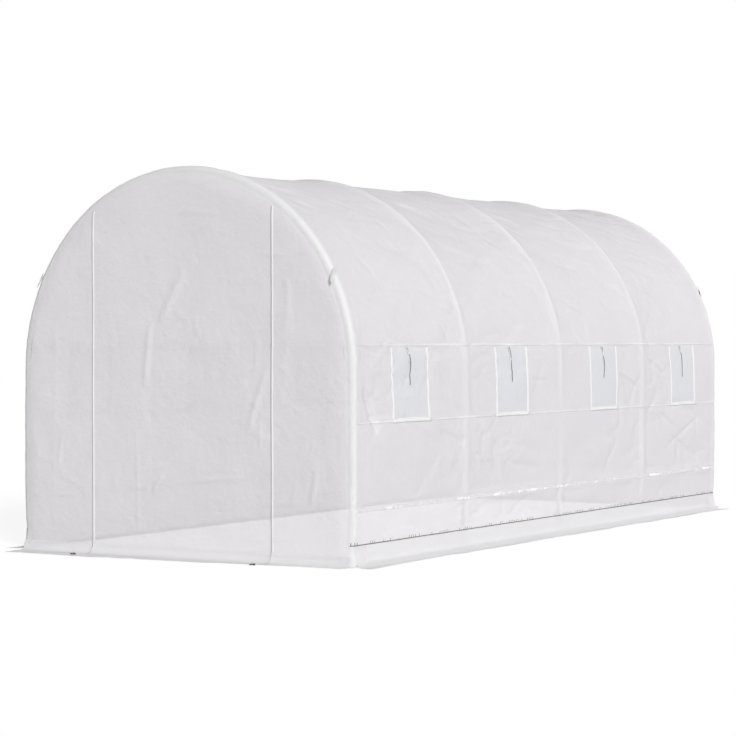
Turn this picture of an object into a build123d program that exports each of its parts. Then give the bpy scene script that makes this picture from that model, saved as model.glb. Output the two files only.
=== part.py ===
from build123d import *
from math import asin, cos, degrees, radians, sin, sqrt
import os

# Polytunnel greenhouse: five bent tube hoops under one sewn sheet cover.
# Millimetres. +Z up, X across, Y along, the zipped door end at -Y.
# The origin is on the ground under the middle of the tunnel.

# Driving dimensions
length = 4500.0
width = 2000.0
height = 1960.0
bay_count = 4
tube_diameter = 25.0
rail_diameter = 19.0
cover_thickness = 3.0
cover_dip = 20.0
window_width = 400.0
window_height = 370.0
window_shifts = (-30.0, -40.0, 5.0, 60.0)
seam_rise = 100.0
door_half_width = 545.0

# Clearances
cover_fit = 0.2
tube_fit = 0.1
joint_gap = 0.3
bore_fit = 0.3

# Values that follow from the driving dimensions
outer_radius = width / 2
leg_height = height - outer_radius
inner_radius = outer_radius - cover_thickness
tube_radius = tube_diameter / 2
rail_radius = rail_diameter / 2
hoop_radius = inner_radius - cover_fit - tube_radius
rail_offset = hoop_radius - tube_radius - rail_radius - cover_fit
half_length = length / 2
end_hoop = half_length - cover_thickness - cover_fit - tube_radius
hoop_pitch = 2 * end_hoop / bay_count
hoop_places = [-end_hoop + number * hoop_pitch for number in range(bay_count + 1)]

# The cover is one skin in four bays between straight bands at its two ends
edge_band = 2 * (half_length - end_hoop)
skin_start = half_length - edge_band
bay_edges = [-skin_start] + hoop_places[1:-1] + [skin_start]
hem_height = 100.0
low_seam = 270.0
window_top = leg_height + seam_rise
window_bottom = window_top - window_height
seam_angle = degrees(asin(seam_rise / outer_radius))

# Frame
foot_plate = 3.0
foot_length = 56.0
foot_hole_radius = 4.5
arc_count = 4
arc_sweep = 180.0 / arc_count
spigot_length = 40.0
spigot_radius = 11.0
base_rail_offset = inner_radius - cover_fit - rail_radius
clamp_width = 34.0
clamp_wall = 4.0
saddle_reach = 45.0

# Cover trim
binding_width = 20.0
binding_thickness = 3.0
flap_thickness = 2.0
net_thickness = 1.0
net_overlap = 16.0
tie_width = 9.0
tie_length = 180.0
tie_thickness = 1.5
tie_bow = 12.0
zip_width = 14.0
zip_thickness = 5.0
zip_bottom = 30.0
zip_tail_thickness = 2.0
zip_tail_bend = 15.0
slider_length = 30.0
slider_thickness = 8.0
skirt_thickness = 3.0
skirt_reach = 105.0
end_skirt_reach = 180.0
skirt_flare = 48.0
end_skirt_flare = 24.0
tab_angle = 27.7
tab_width = 34.0
tab_reach = 42.0
tab_thickness = 3.0
tab_opening = 8.0
roof_strips = 6


def plane_across(y):
    """Upright plane across the tunnel, with local x along X and local y along Z."""
    return Plane(origin=(0, y, 0), x_dir=(1, 0, 0), z_dir=(0, -1, 0))


def dipped_strip(plane, start, end, base, inside, outside):
    """Face of the skin over one bay, dipping towards the tunnel between two hoops.

    Local x is the distance out from the tunnel's middle and local y runs along it.
    """
    middle = (start + end) / 2
    near = base + inside
    far_out = base + outside
    with BuildSketch(plane) as strip:
        with BuildLine():
            Line((near, start), (far_out, start))
            ThreePointArc((far_out, start), (far_out - cover_dip, middle), (far_out, end))
            Line((far_out, end), (near, end))
            ThreePointArc((near, end), (near - cover_dip, middle), (near, start))
        make_face()
    return strip.sketch


def wall_layer(side, inside, outside, bottom, top):
    """Upright layer of one side wall between two heights, dipping in every bay."""
    floor = Plane(origin=(0, 0, bottom), x_dir=(side, 0, 0), z_dir=(0, 0, side))
    with BuildPart() as layer:
        for start, end in zip(bay_edges[:-1], bay_edges[1:]):
            strip = dipped_strip(floor, start, end, inner_radius, inside, outside)
            extrude(strip, amount=side * (top - bottom))
    return layer.part


def bend(y, start, sweep, radius, mode=Mode.ADD):
    """Round bar bent about the middle of the arch, from one angle through a sweep."""
    outward = (cos(radians(start)), 0, sin(radians(start)))
    onward = (-sin(radians(start)), 0, cos(radians(start)))
    centre = (hoop_radius * outward[0], y, leg_height + hoop_radius * outward[2])
    with BuildSketch(Plane(origin=centre, x_dir=outward, z_dir=onward)) as ring:
        Circle(radius)
    turn = Axis((0, y, leg_height), (0, -1, 0))
    revolve(ring.sketch, axis=turn, revolution_arc=sweep, mode=mode)


def save(piece, name):
    """Name a finished piece and write it out."""
    piece.part.label = name
    export_step(piece.part, f"parts/{name}.step")


os.makedirs("parts", exist_ok=True)

# Hoops: two straight legs and four bent tubes, each swaged into the next
gap_angle = degrees(joint_gap / hoop_radius)
spigot_angle = degrees(spigot_length / hoop_radius)
root_angle = degrees(spigot_radius / hoop_radius)
for number, y in enumerate(hoop_places, start=1):
    with BuildPart() as hoop:
        for side in (-1, 1):
            with BuildSketch(Plane.XY.offset(foot_plate)):
                with Locations((side * hoop_radius, y)):
                    Circle(tube_radius)
            extrude(amount=leg_height - foot_plate - joint_gap)
        for arc in range(arc_count):
            start = arc * arc_sweep
            bend(y, start, arc_sweep - gap_angle, tube_radius)
        for arc in range(arc_count):
            start = arc * arc_sweep
            bend(y, start, spigot_angle + gap_angle, spigot_radius + tube_fit, Mode.SUBTRACT)
        last_end = 180 - spigot_angle - 2 * gap_angle
        bend(y, last_end, spigot_angle + 2 * gap_angle, spigot_radius + tube_fit, Mode.SUBTRACT)
        for arc in range(1, arc_count):
            start = arc * arc_sweep - gap_angle - root_angle
            bend(y, start, root_angle + gap_angle + spigot_angle, spigot_radius)
        for side in (-1, 1):
            with BuildSketch(Plane.XY.offset(leg_height - spigot_radius)):
                with Locations((side * hoop_radius, y)):
                    Circle(spigot_radius - joint_gap)
            extrude(amount=spigot_radius + spigot_length / 2)
    save(hoop, f"hoop_{number}")

# Feet: a peg lug under each leg, turned in so that the cover passes outside it
with BuildPart() as foot_lugs:
    for y in hoop_places:
        for side in (-1, 1):
            foot_middle = hoop_radius + tube_radius - foot_length / 2
            with BuildSketch(Plane.XY):
                with Locations((side * foot_middle, y)):
                    SlotOverall(foot_length, tube_diameter)
                with Locations((side * (foot_middle - foot_length / 4), y)):
                    Circle(foot_hole_radius, mode=Mode.SUBTRACT)
            extrude(amount=foot_plate)
save(foot_lugs, "foot_lugs")

# Rails: straight tubes along the inside of the hoops, one length to a bay
rail_end = end_hoop + tube_radius - clamp_wall


def rail(x, z):
    """Lengths of rail tube in line, each swaged into the next."""
    with BuildPart() as rail_piece:
        for number in range(bay_count):
            first = -rail_end if number == 0 else hoop_places[number]
            last = rail_end if number == bay_count - 1 else hoop_places[number + 1] - joint_gap
            with BuildSketch(plane_across(first)):
                with Locations((x, z)):
                    Circle(rail_radius)
            extrude(amount=first - last)
            if number > 0:
                with BuildSketch(plane_across(first)):
                    with Locations((x, z)):
                        Circle(rail_radius - 1 + tube_fit)
                extrude(amount=-spigot_length - joint_gap, mode=Mode.SUBTRACT)
        for y in hoop_places[1:-1]:
            with BuildSketch(plane_across(y - joint_gap - rail_radius)):
                with Locations((x, z)):
                    Circle(rail_radius - 1)
            extrude(amount=-rail_radius - spigot_length)
    return rail_piece


shoulder_x = rail_offset * cos(radians(seam_angle))
shoulder_z = leg_height + rail_offset * sin(radians(seam_angle))
save(rail(0, leg_height + rail_offset), "ridge_rail")
save(rail(-shoulder_x, shoulder_z), "shoulder_rail_left")
save(rail(shoulder_x, shoulder_z), "shoulder_rail_right")


def leg_bores(fit):
    """Cut room for the hoop legs at the height of the base rails."""
    with BuildSketch(Plane.XY.offset(low_seam - clamp_width)) as bores:
        for y in hoop_places:
            with Locations((-hoop_radius, y), (hoop_radius, y)):
                Circle(tube_radius + fit)
    extrude(bores.sketch, amount=2 * clamp_width, mode=Mode.SUBTRACT)


# Base rails: tubes between the legs, coped to them, flush with them under the cover
for side, word in ((-1, "left"), (1, "right")):
    with BuildPart() as base_rail:
        with BuildSketch(plane_across(end_hoop)):
            with Locations((side * base_rail_offset, low_seam)):
                Circle(rail_radius)
        extrude(amount=2 * end_hoop)
        leg_bores(cover_fit)
    save(base_rail, f"base_rail_{word}")

rear_rail_y = end_hoop + tube_radius - rail_radius
with BuildPart() as base_rail_rear:
    with BuildSketch(Plane.YZ):
        with Locations((rear_rail_y, low_seam)):
            Circle(rail_radius)
    extrude(amount=hoop_radius, both=True)
    leg_bores(cover_fit)
save(base_rail_rear, "base_rail_rear")


def clamp(y, angle):
    """Saddle block that holds a rail against the inside of a hoop."""
    outward = (cos(radians(angle)), 0, sin(radians(angle)))
    centre = (rail_offset * outward[0], y, leg_height + rail_offset * outward[2])
    facing = Plane(origin=centre, x_dir=outward, z_dir=(0, 1, 0))
    inner_edge = -rail_radius - clamp_wall
    outer_edge = hoop_radius - rail_offset - tube_radius / 2
    middle = (inner_edge + outer_edge) / 2
    with BuildSketch(facing.offset(-tube_radius)) as block:
        with Locations((middle, 0)):
            block_face = Rectangle(outer_edge - inner_edge, clamp_width)
        chamfer(block_face.vertices().group_by(Axis.X)[0], clamp_wall)
        Circle(rail_radius + tube_fit, mode=Mode.SUBTRACT)
    extrude(block.sketch, amount=tube_diameter)
    along_hoop = (-sin(radians(angle)), 0, cos(radians(angle)))
    hoop_centre = (hoop_radius * outward[0], y, leg_height + hoop_radius * outward[2])
    saddle = Plane(origin=hoop_centre, x_dir=outward, z_dir=along_hoop)
    with BuildSketch(saddle.offset(-clamp_width)) as bore:
        Circle(tube_radius + bore_fit)
    extrude(bore.sketch, amount=2 * clamp_width, mode=Mode.SUBTRACT)


saddle_end = rear_rail_y - rail_radius - cover_fit
with BuildPart() as base_saddles:
    for side in (-1, 1):
        inner_face = hoop_radius - tube_radius - clamp_wall
        with BuildSketch(Plane.XY.offset(low_seam - clamp_width / 2)):
            for y in hoop_places:
                low = max(y - saddle_reach, -saddle_end)
                high = min(y + saddle_reach, saddle_end)
                with Locations((side * (inner_face + hoop_radius) / 2, (low + high) / 2)):
                    Rectangle(hoop_radius - inner_face, high - low)
        extrude(amount=clamp_width)
        with BuildSketch(plane_across(half_length)):
            with Locations((side * base_rail_offset, low_seam)):
                Circle(rail_radius + tube_fit)
        extrude(amount=length, mode=Mode.SUBTRACT)
    leg_bores(tube_fit)
save(base_saddles, "base_saddles")

with BuildPart() as rail_clamps:
    for y in hoop_places:
        for angle in (seam_angle, 90, 180 - seam_angle):
            clamp(y, angle)
save(rail_clamps, "rail_clamps")

# Roof: the skin above the window seam, turned about the middle of the arch in strips
strip_sweep = (180 - 2 * seam_angle) / roof_strips
arch_axis = Axis((0, 0, leg_height), (0, -1, 0))
for strip in range(roof_strips):
    angle = seam_angle + strip * strip_sweep
    outward = (cos(radians(angle)), 0, sin(radians(angle)))
    onward = (-sin(radians(angle)), 0, cos(radians(angle)))
    edge = Plane(origin=(0, 0, leg_height), x_dir=outward, z_dir=onward)
    with BuildPart() as roof_strip:
        for start, end in zip(bay_edges[:-1], bay_edges[1:]):
            profile = dipped_strip(edge, -end, -start, inner_radius, 0, cover_thickness)
            revolve(profile, axis=arch_axis, revolution_arc=strip_sweep)
    save(roof_strip, f"roof_strip_{strip + 1}")

# Side walls: window band, plain band and hem band, with window openings cut through
window_places = [
    (start + end) / 2 + shift
    for start, end, shift in zip(bay_edges[:-1], bay_edges[1:], window_shifts)
]
window_middle = window_top - window_height / 2
far = 2 * outer_radius


def window_blocks(side, border):
    """Bars through the side wall at the windows, smaller than each by a border all round."""
    with BuildPart() as blocks:
        with BuildSketch(Plane.YZ):
            for y in window_places:
                with Locations((y, window_middle)):
                    Rectangle(window_width - 2 * border, window_height - 2 * border)
        extrude(amount=side * far)
    return blocks.part


for side, word in ((-1, "left"), (1, "right")):
    opening_blocks = window_blocks(side, binding_width + net_overlap)
    net_blocks = window_blocks(side, binding_width + net_overlap + joint_gap)
    flap_blocks = window_blocks(side, binding_width)
    binding_blocks = window_blocks(side, 0)
    wall = (side, 0, cover_thickness, window_bottom, window_top)
    net = (side, 0, net_thickness, window_bottom, window_top)
    trim_in = cover_thickness + cover_fit
    flap_out = trim_in + flap_thickness
    flap = (side, trim_in, flap_out, window_bottom, window_top)
    binding = (side, trim_in, trim_in + binding_thickness, window_bottom, window_top)
    tie_in = flap_out + cover_fit
    tie = (side, tie_in, tie_in + tie_thickness, window_bottom, window_top)

    window_band_layer = wall_layer(*wall)
    with BuildPart() as window_band:
        add(window_band_layer)
        add(opening_blocks, mode=Mode.SUBTRACT)
    save(window_band, f"wall_{word}_window_band")

    net_layer = wall_layer(*net)
    with BuildPart() as window_nets:
        add(net_layer)
        add(net_blocks, mode=Mode.INTERSECT)
    save(window_nets, f"window_nets_{word}")

    flap_layer = wall_layer(*flap)
    with BuildPart() as window_flaps:
        add(flap_layer)
        add(flap_blocks, mode=Mode.INTERSECT)
    save(window_flaps, f"window_flaps_{word}")

    binding_layer = wall_layer(*binding)
    with BuildPart() as window_bindings:
        add(binding_layer)
        add(binding_blocks, mode=Mode.INTERSECT)
        add(flap_blocks, mode=Mode.SUBTRACT)
    save(window_bindings, f"window_bindings_{word}")

    tie_layer = wall_layer(*tie)
    tie_top = window_top - binding_width
    with BuildPart() as window_ties:
        add(tie_layer)
        with BuildSketch(Plane.YZ):
            for y in window_places:
                near_edge = y - tie_width / 2
                far_edge = y + tie_width / 2
                with BuildLine():
                    Line((near_edge, tie_top), (far_edge, tie_top))
                    ThreePointArc(
                        (far_edge, tie_top),
                        (far_edge - tie_bow, tie_top - tie_length / 2),
                        (far_edge, tie_top - tie_length),
                    )
                    Line((far_edge, tie_top - tie_length), (near_edge, tie_top - tie_length))
                    ThreePointArc(
                        (near_edge, tie_top - tie_length),
                        (near_edge - tie_bow, tie_top - tie_length / 2),
                        (near_edge, tie_top),
                    )
                make_face()
        extrude(amount=side * far, mode=Mode.INTERSECT)
    save(window_ties, f"window_ties_{word}")

    # The plain band eases from the dipping band above to the straight hem below
    with BuildPart() as plain_band:
        base = Plane(origin=(0, 0, low_seam), x_dir=(side, 0, 0), z_dir=(0, 0, side))
        top = Plane(origin=(0, 0, window_bottom), x_dir=(side, 0, 0), z_dir=(0, 0, side))
        for start, end in zip(bay_edges[:-1], bay_edges[1:]):
            with BuildSketch(base) as straight:
                with Locations((inner_radius + cover_thickness / 2, (start + end) / 2)):
                    Rectangle(cover_thickness, end - start)
            dipped = dipped_strip(top, start, end, inner_radius, 0, cover_thickness)
            loft(sections=[straight.sketch, dipped], ruled=True)
    save(plain_band, f"wall_{word}_plain_band")

    with BuildPart() as hem_band:
        with BuildSketch(Plane.XY.offset(hem_height)):
            with Locations((side * (inner_radius + cover_thickness / 2), 0)):
                Rectangle(cover_thickness, 2 * skin_start)
        extrude(amount=low_seam - hem_height)
    save(hem_band, f"wall_{word}_hem_band")

# Ends: flat panels inside straight edge bands that wrap the end hoops
zip_half = zip_width / 2
door_inner = door_half_width - zip_half
side_inner = door_half_width + zip_half
zip_top = leg_height + sqrt(inner_radius**2 - side_inner**2)


def end_face(y, low_x, high_x):
    """Face of the arch end between two upright edges, from the zip's foot up."""
    with BuildSketch(plane_across(y)) as face:
        with BuildLine():
            Line((-inner_radius, zip_bottom), (inner_radius, zip_bottom))
            Line((inner_radius, zip_bottom), (inner_radius, leg_height))
            CenterArc((0, leg_height), inner_radius, 0, 180)
            Line((-inner_radius, leg_height), (-inner_radius, zip_bottom))
        make_face()
        with Locations(((low_x + high_x) / 2, height / 2)):
            Rectangle(high_x - low_x, 2 * height, mode=Mode.INTERSECT)
    return face.sketch


door_face = end_face(-half_length, -door_inner, door_inner)
with BuildPart() as door_panel:
    extrude(door_face, amount=-cover_thickness)
save(door_panel, "door_panel")

for side, word in ((-1, "left"), (1, "right")):
    low_x, high_x = sorted((side * side_inner, side * outer_radius))
    panel_face = end_face(-half_length, low_x, high_x)
    with BuildPart() as front_panel:
        extrude(panel_face, amount=-cover_thickness)
    save(front_panel, f"front_panel_{word}")

    zip_front = half_length + zip_thickness - cover_thickness
    with BuildPart() as door_zip:
        with BuildSketch(plane_across(-zip_front)):
            with Locations((side * door_half_width, (zip_bottom + zip_top) / 2)):
                Rectangle(zip_width, zip_top - zip_bottom)
        extrude(amount=-zip_thickness)
    save(door_zip, f"door_zip_{word}")

rear_face = end_face(half_length, -outer_radius, outer_radius)
with BuildPart() as rear_panel:
    extrude(rear_face, amount=cover_thickness)
save(rear_panel, "rear_panel")

band_segments = [(arc * arc_sweep, (arc + 1) * arc_sweep) for arc in range(arc_count)]
for end, word in ((-1, "front"), (1, "rear")):
    with BuildPart() as band_piece:
        band_y = -half_length if end < 0 else half_length - edge_band
        with BuildSketch(plane_across(band_y)):
            for side in (-1, 1):
                band_middle = (hem_height + leg_height - joint_gap) / 2
                with Locations((side * (inner_radius + cover_thickness / 2), band_middle)):
                    Rectangle(cover_thickness, leg_height - joint_gap - hem_height)
        extrude(amount=-edge_band)
        for start, stop in band_segments:
            with BuildSketch(plane_across(band_y)):
                with BuildLine():
                    sweep = stop - start - gap_angle
                    outer = CenterArc((0, leg_height), outer_radius, start, sweep)
                    inner = CenterArc((0, leg_height), inner_radius, start, sweep)
                    Line(outer @ 0, inner @ 0)
                    Line(outer @ 1, inner @ 1)
                make_face()
            extrude(amount=-edge_band)
    save(band_piece, f"{word}_edge_band")


def skirt_layer(plane, face, top, flare, reach, inside, outside):
    """Section of a skirt from its top edge, round its flare and out along the ground."""
    with BuildSketch(plane) as section:
        with BuildLine():
            Line((face + inside, top), (face + outside, top))
            Line((face + outside, top), (face + outside, flare))
            CenterArc((face + flare, flare), flare - outside, 180, 90)
            Line((face + flare, outside), (reach, outside))
            Line((reach, outside), (reach, inside))
            Line((reach, inside), (face + flare, inside))
            CenterArc((face + flare, flare), flare - inside, 180, 90)
            Line((face + inside, flare), (face + inside, top))
        make_face()
    return section.sketch


# Skirts: the cover flares out from its hem and lies flat on the ground
for side, word in ((-1, "left"), (1, "right")):
    reach = outer_radius + skirt_reach
    outward = Plane(origin=(0, 0, 0), x_dir=(side, 0, 0), z_dir=(0, -side, 0))
    with BuildPart() as side_skirt:
        profile = skirt_layer(
            outward, inner_radius, hem_height, skirt_flare, reach, 0, skirt_thickness
        )
        extrude(profile, amount=half_length, both=True)
    save(side_skirt, f"skirt_{word}")

end_reach = half_length + end_skirt_reach
panel_inside = half_length - cover_thickness
for end, word in ((-1, "front"), (1, "rear")):
    outward = Plane(origin=(0, 0, 0), x_dir=(0, end, 0), z_dir=(end, 0, 0))
    with BuildPart() as end_skirt:
        profile = skirt_layer(
            outward, panel_inside, zip_bottom, end_skirt_flare, end_reach, 0, skirt_thickness
        )
        extrude(profile, amount=inner_radius, both=True)
    save(end_skirt, f"skirt_{word}")

# Zip tails: each zip runs down over the skirt and bends to its slider at the edge
tail_top = skirt_thickness + zip_tail_thickness
forward = Plane(origin=(0, 0, 0), x_dir=(0, -1, 0), z_dir=(-1, 0, 0))
tail_profile = skirt_layer(
    forward, panel_inside, zip_bottom, end_skirt_flare, end_reach, skirt_thickness, tail_top
)
with BuildPart() as tail_layer:
    extrude(tail_profile, amount=inner_radius, both=True)
for side, word in ((-1, "left"), (1, "right")):
    zip_x = side * door_half_width
    slider_x = zip_x - zip_tail_bend
    with BuildPart() as zip_tail:
        add(tail_layer.part)
        with BuildSketch(Plane.XY):
            with BuildLine():
                start = (zip_x, -panel_inside)
                bend_end = (zip_x - zip_tail_bend / 2, -(panel_inside + end_reach) / 2)
                first = TangentArc(start, bend_end, tangent=(0, -1))
                TangentArc(first @ 1, (slider_x, -end_reach), tangent=first % 1)
            trace(line_width=zip_half)
        extrude(amount=hem_height, mode=Mode.INTERSECT)
    save(zip_tail, f"zip_tail_{word}")

with BuildPart() as zip_sliders:
    with BuildSketch(Plane.XY.offset(tail_top)):
        for side in (-1, 1):
            with Locations((side * door_half_width - zip_tail_bend, slider_length / 2 - end_reach)):
                SlotOverall(slider_length, slider_length / 2, rotation=60)
    extrude(amount=slider_thickness)
    chamfer(zip_sliders.edges().group_by(Axis.Z)[-1], slider_thickness / 4)
save(zip_sliders, "zip_sliders")

# Guy tabs: folded webbing loops on the edge bands, for a storm line
with BuildPart() as guy_tabs:
    for end in (-1, 1):
        for angle in (tab_angle, 180 - tab_angle):
            outward = (cos(radians(angle)), 0, sin(radians(angle)))
            root = (
                outer_radius * outward[0],
                end * (half_length - edge_band / 2),
                leg_height + outer_radius * outward[2],
            )
            along = (-sin(radians(angle)), 0, cos(radians(angle)))
            with BuildSketch(Plane(origin=root, x_dir=outward, z_dir=along).offset(-tab_width / 2)):
                with Locations((tab_reach / 2, 0)):
                    SlotOverall(tab_reach, 2 * tab_thickness + tab_opening)
                    SlotOverall(tab_reach - 2 * tab_thickness, tab_opening, mode=Mode.SUBTRACT)
            extrude(amount=tab_width)
save(guy_tabs, "guy_tabs")
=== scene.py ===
from math import asin, cos, pi, radians, sin, sqrt

import bmesh
import bpy
import numpy as np
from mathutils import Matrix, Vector


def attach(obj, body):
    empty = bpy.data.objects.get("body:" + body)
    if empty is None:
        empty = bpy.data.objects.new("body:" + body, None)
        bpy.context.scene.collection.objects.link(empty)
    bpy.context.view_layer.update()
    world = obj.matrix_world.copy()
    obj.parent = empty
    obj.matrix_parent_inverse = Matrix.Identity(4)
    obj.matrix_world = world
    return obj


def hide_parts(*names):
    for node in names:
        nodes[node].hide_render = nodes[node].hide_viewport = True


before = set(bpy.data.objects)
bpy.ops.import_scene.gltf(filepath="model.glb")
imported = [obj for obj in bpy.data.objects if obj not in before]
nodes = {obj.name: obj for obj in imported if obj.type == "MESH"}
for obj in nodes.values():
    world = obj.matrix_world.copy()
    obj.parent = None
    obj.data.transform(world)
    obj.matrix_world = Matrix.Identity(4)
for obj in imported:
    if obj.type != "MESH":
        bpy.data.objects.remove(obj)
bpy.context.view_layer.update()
scene = bpy.context.scene

# Tunnel sizes, in metres. Distances along the cover's section run from the ground on the
# right, up the wall, over the arch and down the left wall. The door end is towards -y.
SPRING = 0.96
SKIN = 0.9985
SECTION = 2 * SPRING + pi
HALF = 2.25
PANEL = 2.2635
END_HOOP = 2.2343
BAY = END_HOOP / 2
HOOPS = [BAY * (number - 2) for number in range(5)]

# The cover dips between these lines; each bay has a window a little off its middle
BAYS = [-2.2186, *HOOPS[1:4], 2.2186]
SHIFTS = (-0.030, -0.040, 0.005, 0.060)
WINDOWS = [(start + end) / 2 + shift for start, end, shift in zip(BAYS[:-1], BAYS[1:], SHIFTS)]
DIP = 0.020

# Heights up a wall of its hem and seams, and half the width between the zips
HEM = 0.10
HEM_LINE = HEM + 0.012
HEM_LINE_HALF = 0.012
LOW_SEAM = 0.27
MIDDLE_SEAM = 0.69
TOP_SEAM = SPRING + asin(0.1)
DOOR = 0.545

# Sleeves round the end hoops: a run along the wall, a roll over the tube, a run on the end
ROLL = 0.034
SLEEVE_START = 2.13
SIDE_RUN = PANEL - ROLL - SLEEVE_START
FRONT_RUN = 0.016
SLEEVE_WIDTH = SIDE_RUN + ROLL * pi / 2 + FRONT_RUN

# Camera, fitted to the photograph; its focal length was found in pixels of a 736 wide frame

camera = bpy.data.objects.new("camera", bpy.data.cameras.new("camera"))
scene.collection.objects.link(camera)
camera.location = (6.6475, -11.588, 1.0922)
camera.rotation_euler = (pi / 2 - 0.0124, 0.0, 0.5376)
camera.data.lens = 2288.165 / 736 * 36
camera.data.sensor_width = 36
scene.camera = camera


# Materials

class Wire:
    """A value in a material; sums and products of wires add maths nodes to it."""

    def __init__(self, paint, socket):
        self.paint = paint
        self.socket = socket

    def maths(self, operation, *others):
        inputs = dict(enumerate((self, *others)))
        return self.paint.node("ShaderNodeMath", {"operation": operation}, inputs)

    def __add__(self, other):
        return self.maths("ADD", other)

    def __mul__(self, other):
        return self.maths("MULTIPLY", other)

    def __sub__(self, other):
        return self.maths("SUBTRACT", other)

    def __rsub__(self, other):
        return self.maths("MULTIPLY_ADD", -1.0, other)

    def __truediv__(self, other):
        return self.maths("DIVIDE", other)

    def __pow__(self, other):
        return self.maths("POWER", other)

    __radd__ = __add__
    __rmul__ = __mul__

    def size(self):
        return self.maths("ABSOLUTE")

    def above(self, edge):
        return self.maths("GREATER_THAN", edge)

    def at_least(self, low):
        return self.maths("MAXIMUM", low)

    def at_most(self, high):
        return self.maths("MINIMUM", high)

    def ribs(self, pitch):
        """Round ribs one pitch apart, from 0 between them to 1 on their crests."""
        return (self * (2 * pi / pitch)).maths("SINE") * 0.5 + 0.5


class Paint:
    """The emptied node tree of a material or a world, and the nodes put in it."""

    def __init__(self, owner):
        self.owner = owner
        owner.use_nodes = True
        self.tree = owner.node_tree
        self.tree.nodes.clear()

    def node(self, kind, settings=None, inputs=None, output=0):
        """Add a node, set it up, fill or link its sockets, and give one of its outputs."""
        made = self.tree.nodes.new(kind)
        for setting, value in (settings or {}).items():
            setattr(made, setting, value)
        for socket, value in (inputs or {}).items():
            if isinstance(value, Wire):
                self.tree.links.new(value.socket, made.inputs[socket])
            else:
                made.inputs[socket].default_value = value
        return Wire(self, made.outputs[output])

    def place(self):
        return self.node("ShaderNodeTexCoord", output="Object")

    def cut(self):
        """The two coordinates on the flat cut of a cloth piece, in metres."""
        flat = self.node("ShaderNodeUVMap", {"uv_map": "cut"})
        parts = {"Vector": flat}
        across = self.node("ShaderNodeSeparateXYZ", inputs=parts, output="X")
        along = self.node("ShaderNodeSeparateXYZ", inputs=parts, output="Y")
        return across, along

    def cloud(self, scale, detail=3.0, vector=None, roughness=0.5):
        inputs = {"Scale": scale, "Detail": detail, "Roughness": roughness}
        inputs["Vector"] = vector or self.place()
        return self.node("ShaderNodeTexNoise", inputs=inputs)

    def blend(self, factor, first, second):
        inputs = {0: factor, 6: first, 7: second}
        return self.node("ShaderNodeMix", {"data_type": "RGBA"}, inputs, output=2)

    def bump(self, height, distance, strength=1.0, normal=None):
        inputs = {"Height": height, "Distance": distance, "Strength": strength}
        if normal:
            inputs["Normal"] = normal
        return self.node("ShaderNodeBump", inputs=inputs)

    def coat(self, colour, roughness, normal=None, **more):
        """The main shader; its other sockets are named with underscores for spaces."""
        inputs = {"Base Color": colour, "Roughness": roughness}
        if normal:
            inputs["Normal"] = normal
        inputs.update({key.replace("_", " "): value for key, value in more.items()})
        return self.node("ShaderNodeBsdfPrincipled", inputs=inputs)

    def mix(self, factor, first, second):
        return self.node("ShaderNodeMixShader", inputs={0: factor, 1: first, 2: second})

    def finish(self, shader, kind="ShaderNodeOutputMaterial"):
        output = self.tree.nodes.new(kind)
        self.tree.links.new(shader.socket, output.inputs["Surface"])
        return self.owner


def material_paint(name):
    return Paint(bpy.data.materials.new(name))


# Pitches of the woven textures: tape ribs, webbing ribs, net threads, the sheet's scrim
RIB = 0.0016
WEAVE = 0.0022
MESH = 0.0030
SCRIM = 0.0042
PANE_SCRIM = 0.0060


def tint(red, green, blue):
    return (red, green, blue, 1.0)


def drawn_lines(paint, across, along):
    """Fine folds drawn back from each hoop over the crown, from 0 to 1 on them; the roof film
    paints shade along them.
    """
    behind = ((across + END_HOOP) / BAY).maths("FRACT")
    from_crown = (along - SECTION / 2).size()
    run = (across + 0.45 * from_crown) * 3.0
    off = (from_crown - 0.45 * across) * 42.0
    place = paint.node("ShaderNodeCombineXYZ", inputs={"X": run, "Y": off})
    ridges = (paint.cloud(1.0, 3.0, place) - 0.53) * 7.0
    ridges = ridges.at_least(0.0).at_most(1.0)
    near = (1.0 - behind * 1.7).at_least(0.0)
    high = (1.15 - from_crown * 1.25).at_least(0.0).at_most(1.0)
    return ridges * near * high


def doubled(across, along):
    """How far a sleeve is doubled, from 0 at both its edges to 1 over the tube."""
    on_wall = (across / (SIDE_RUN + 0.4 * ROLL)).at_most(1.0)
    on_end = ((SLEEVE_WIDTH - across) / (FRONT_RUN + 0.7 * ROLL)).at_most(1.0)
    return (on_wall ** 3.0) * on_end


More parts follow.
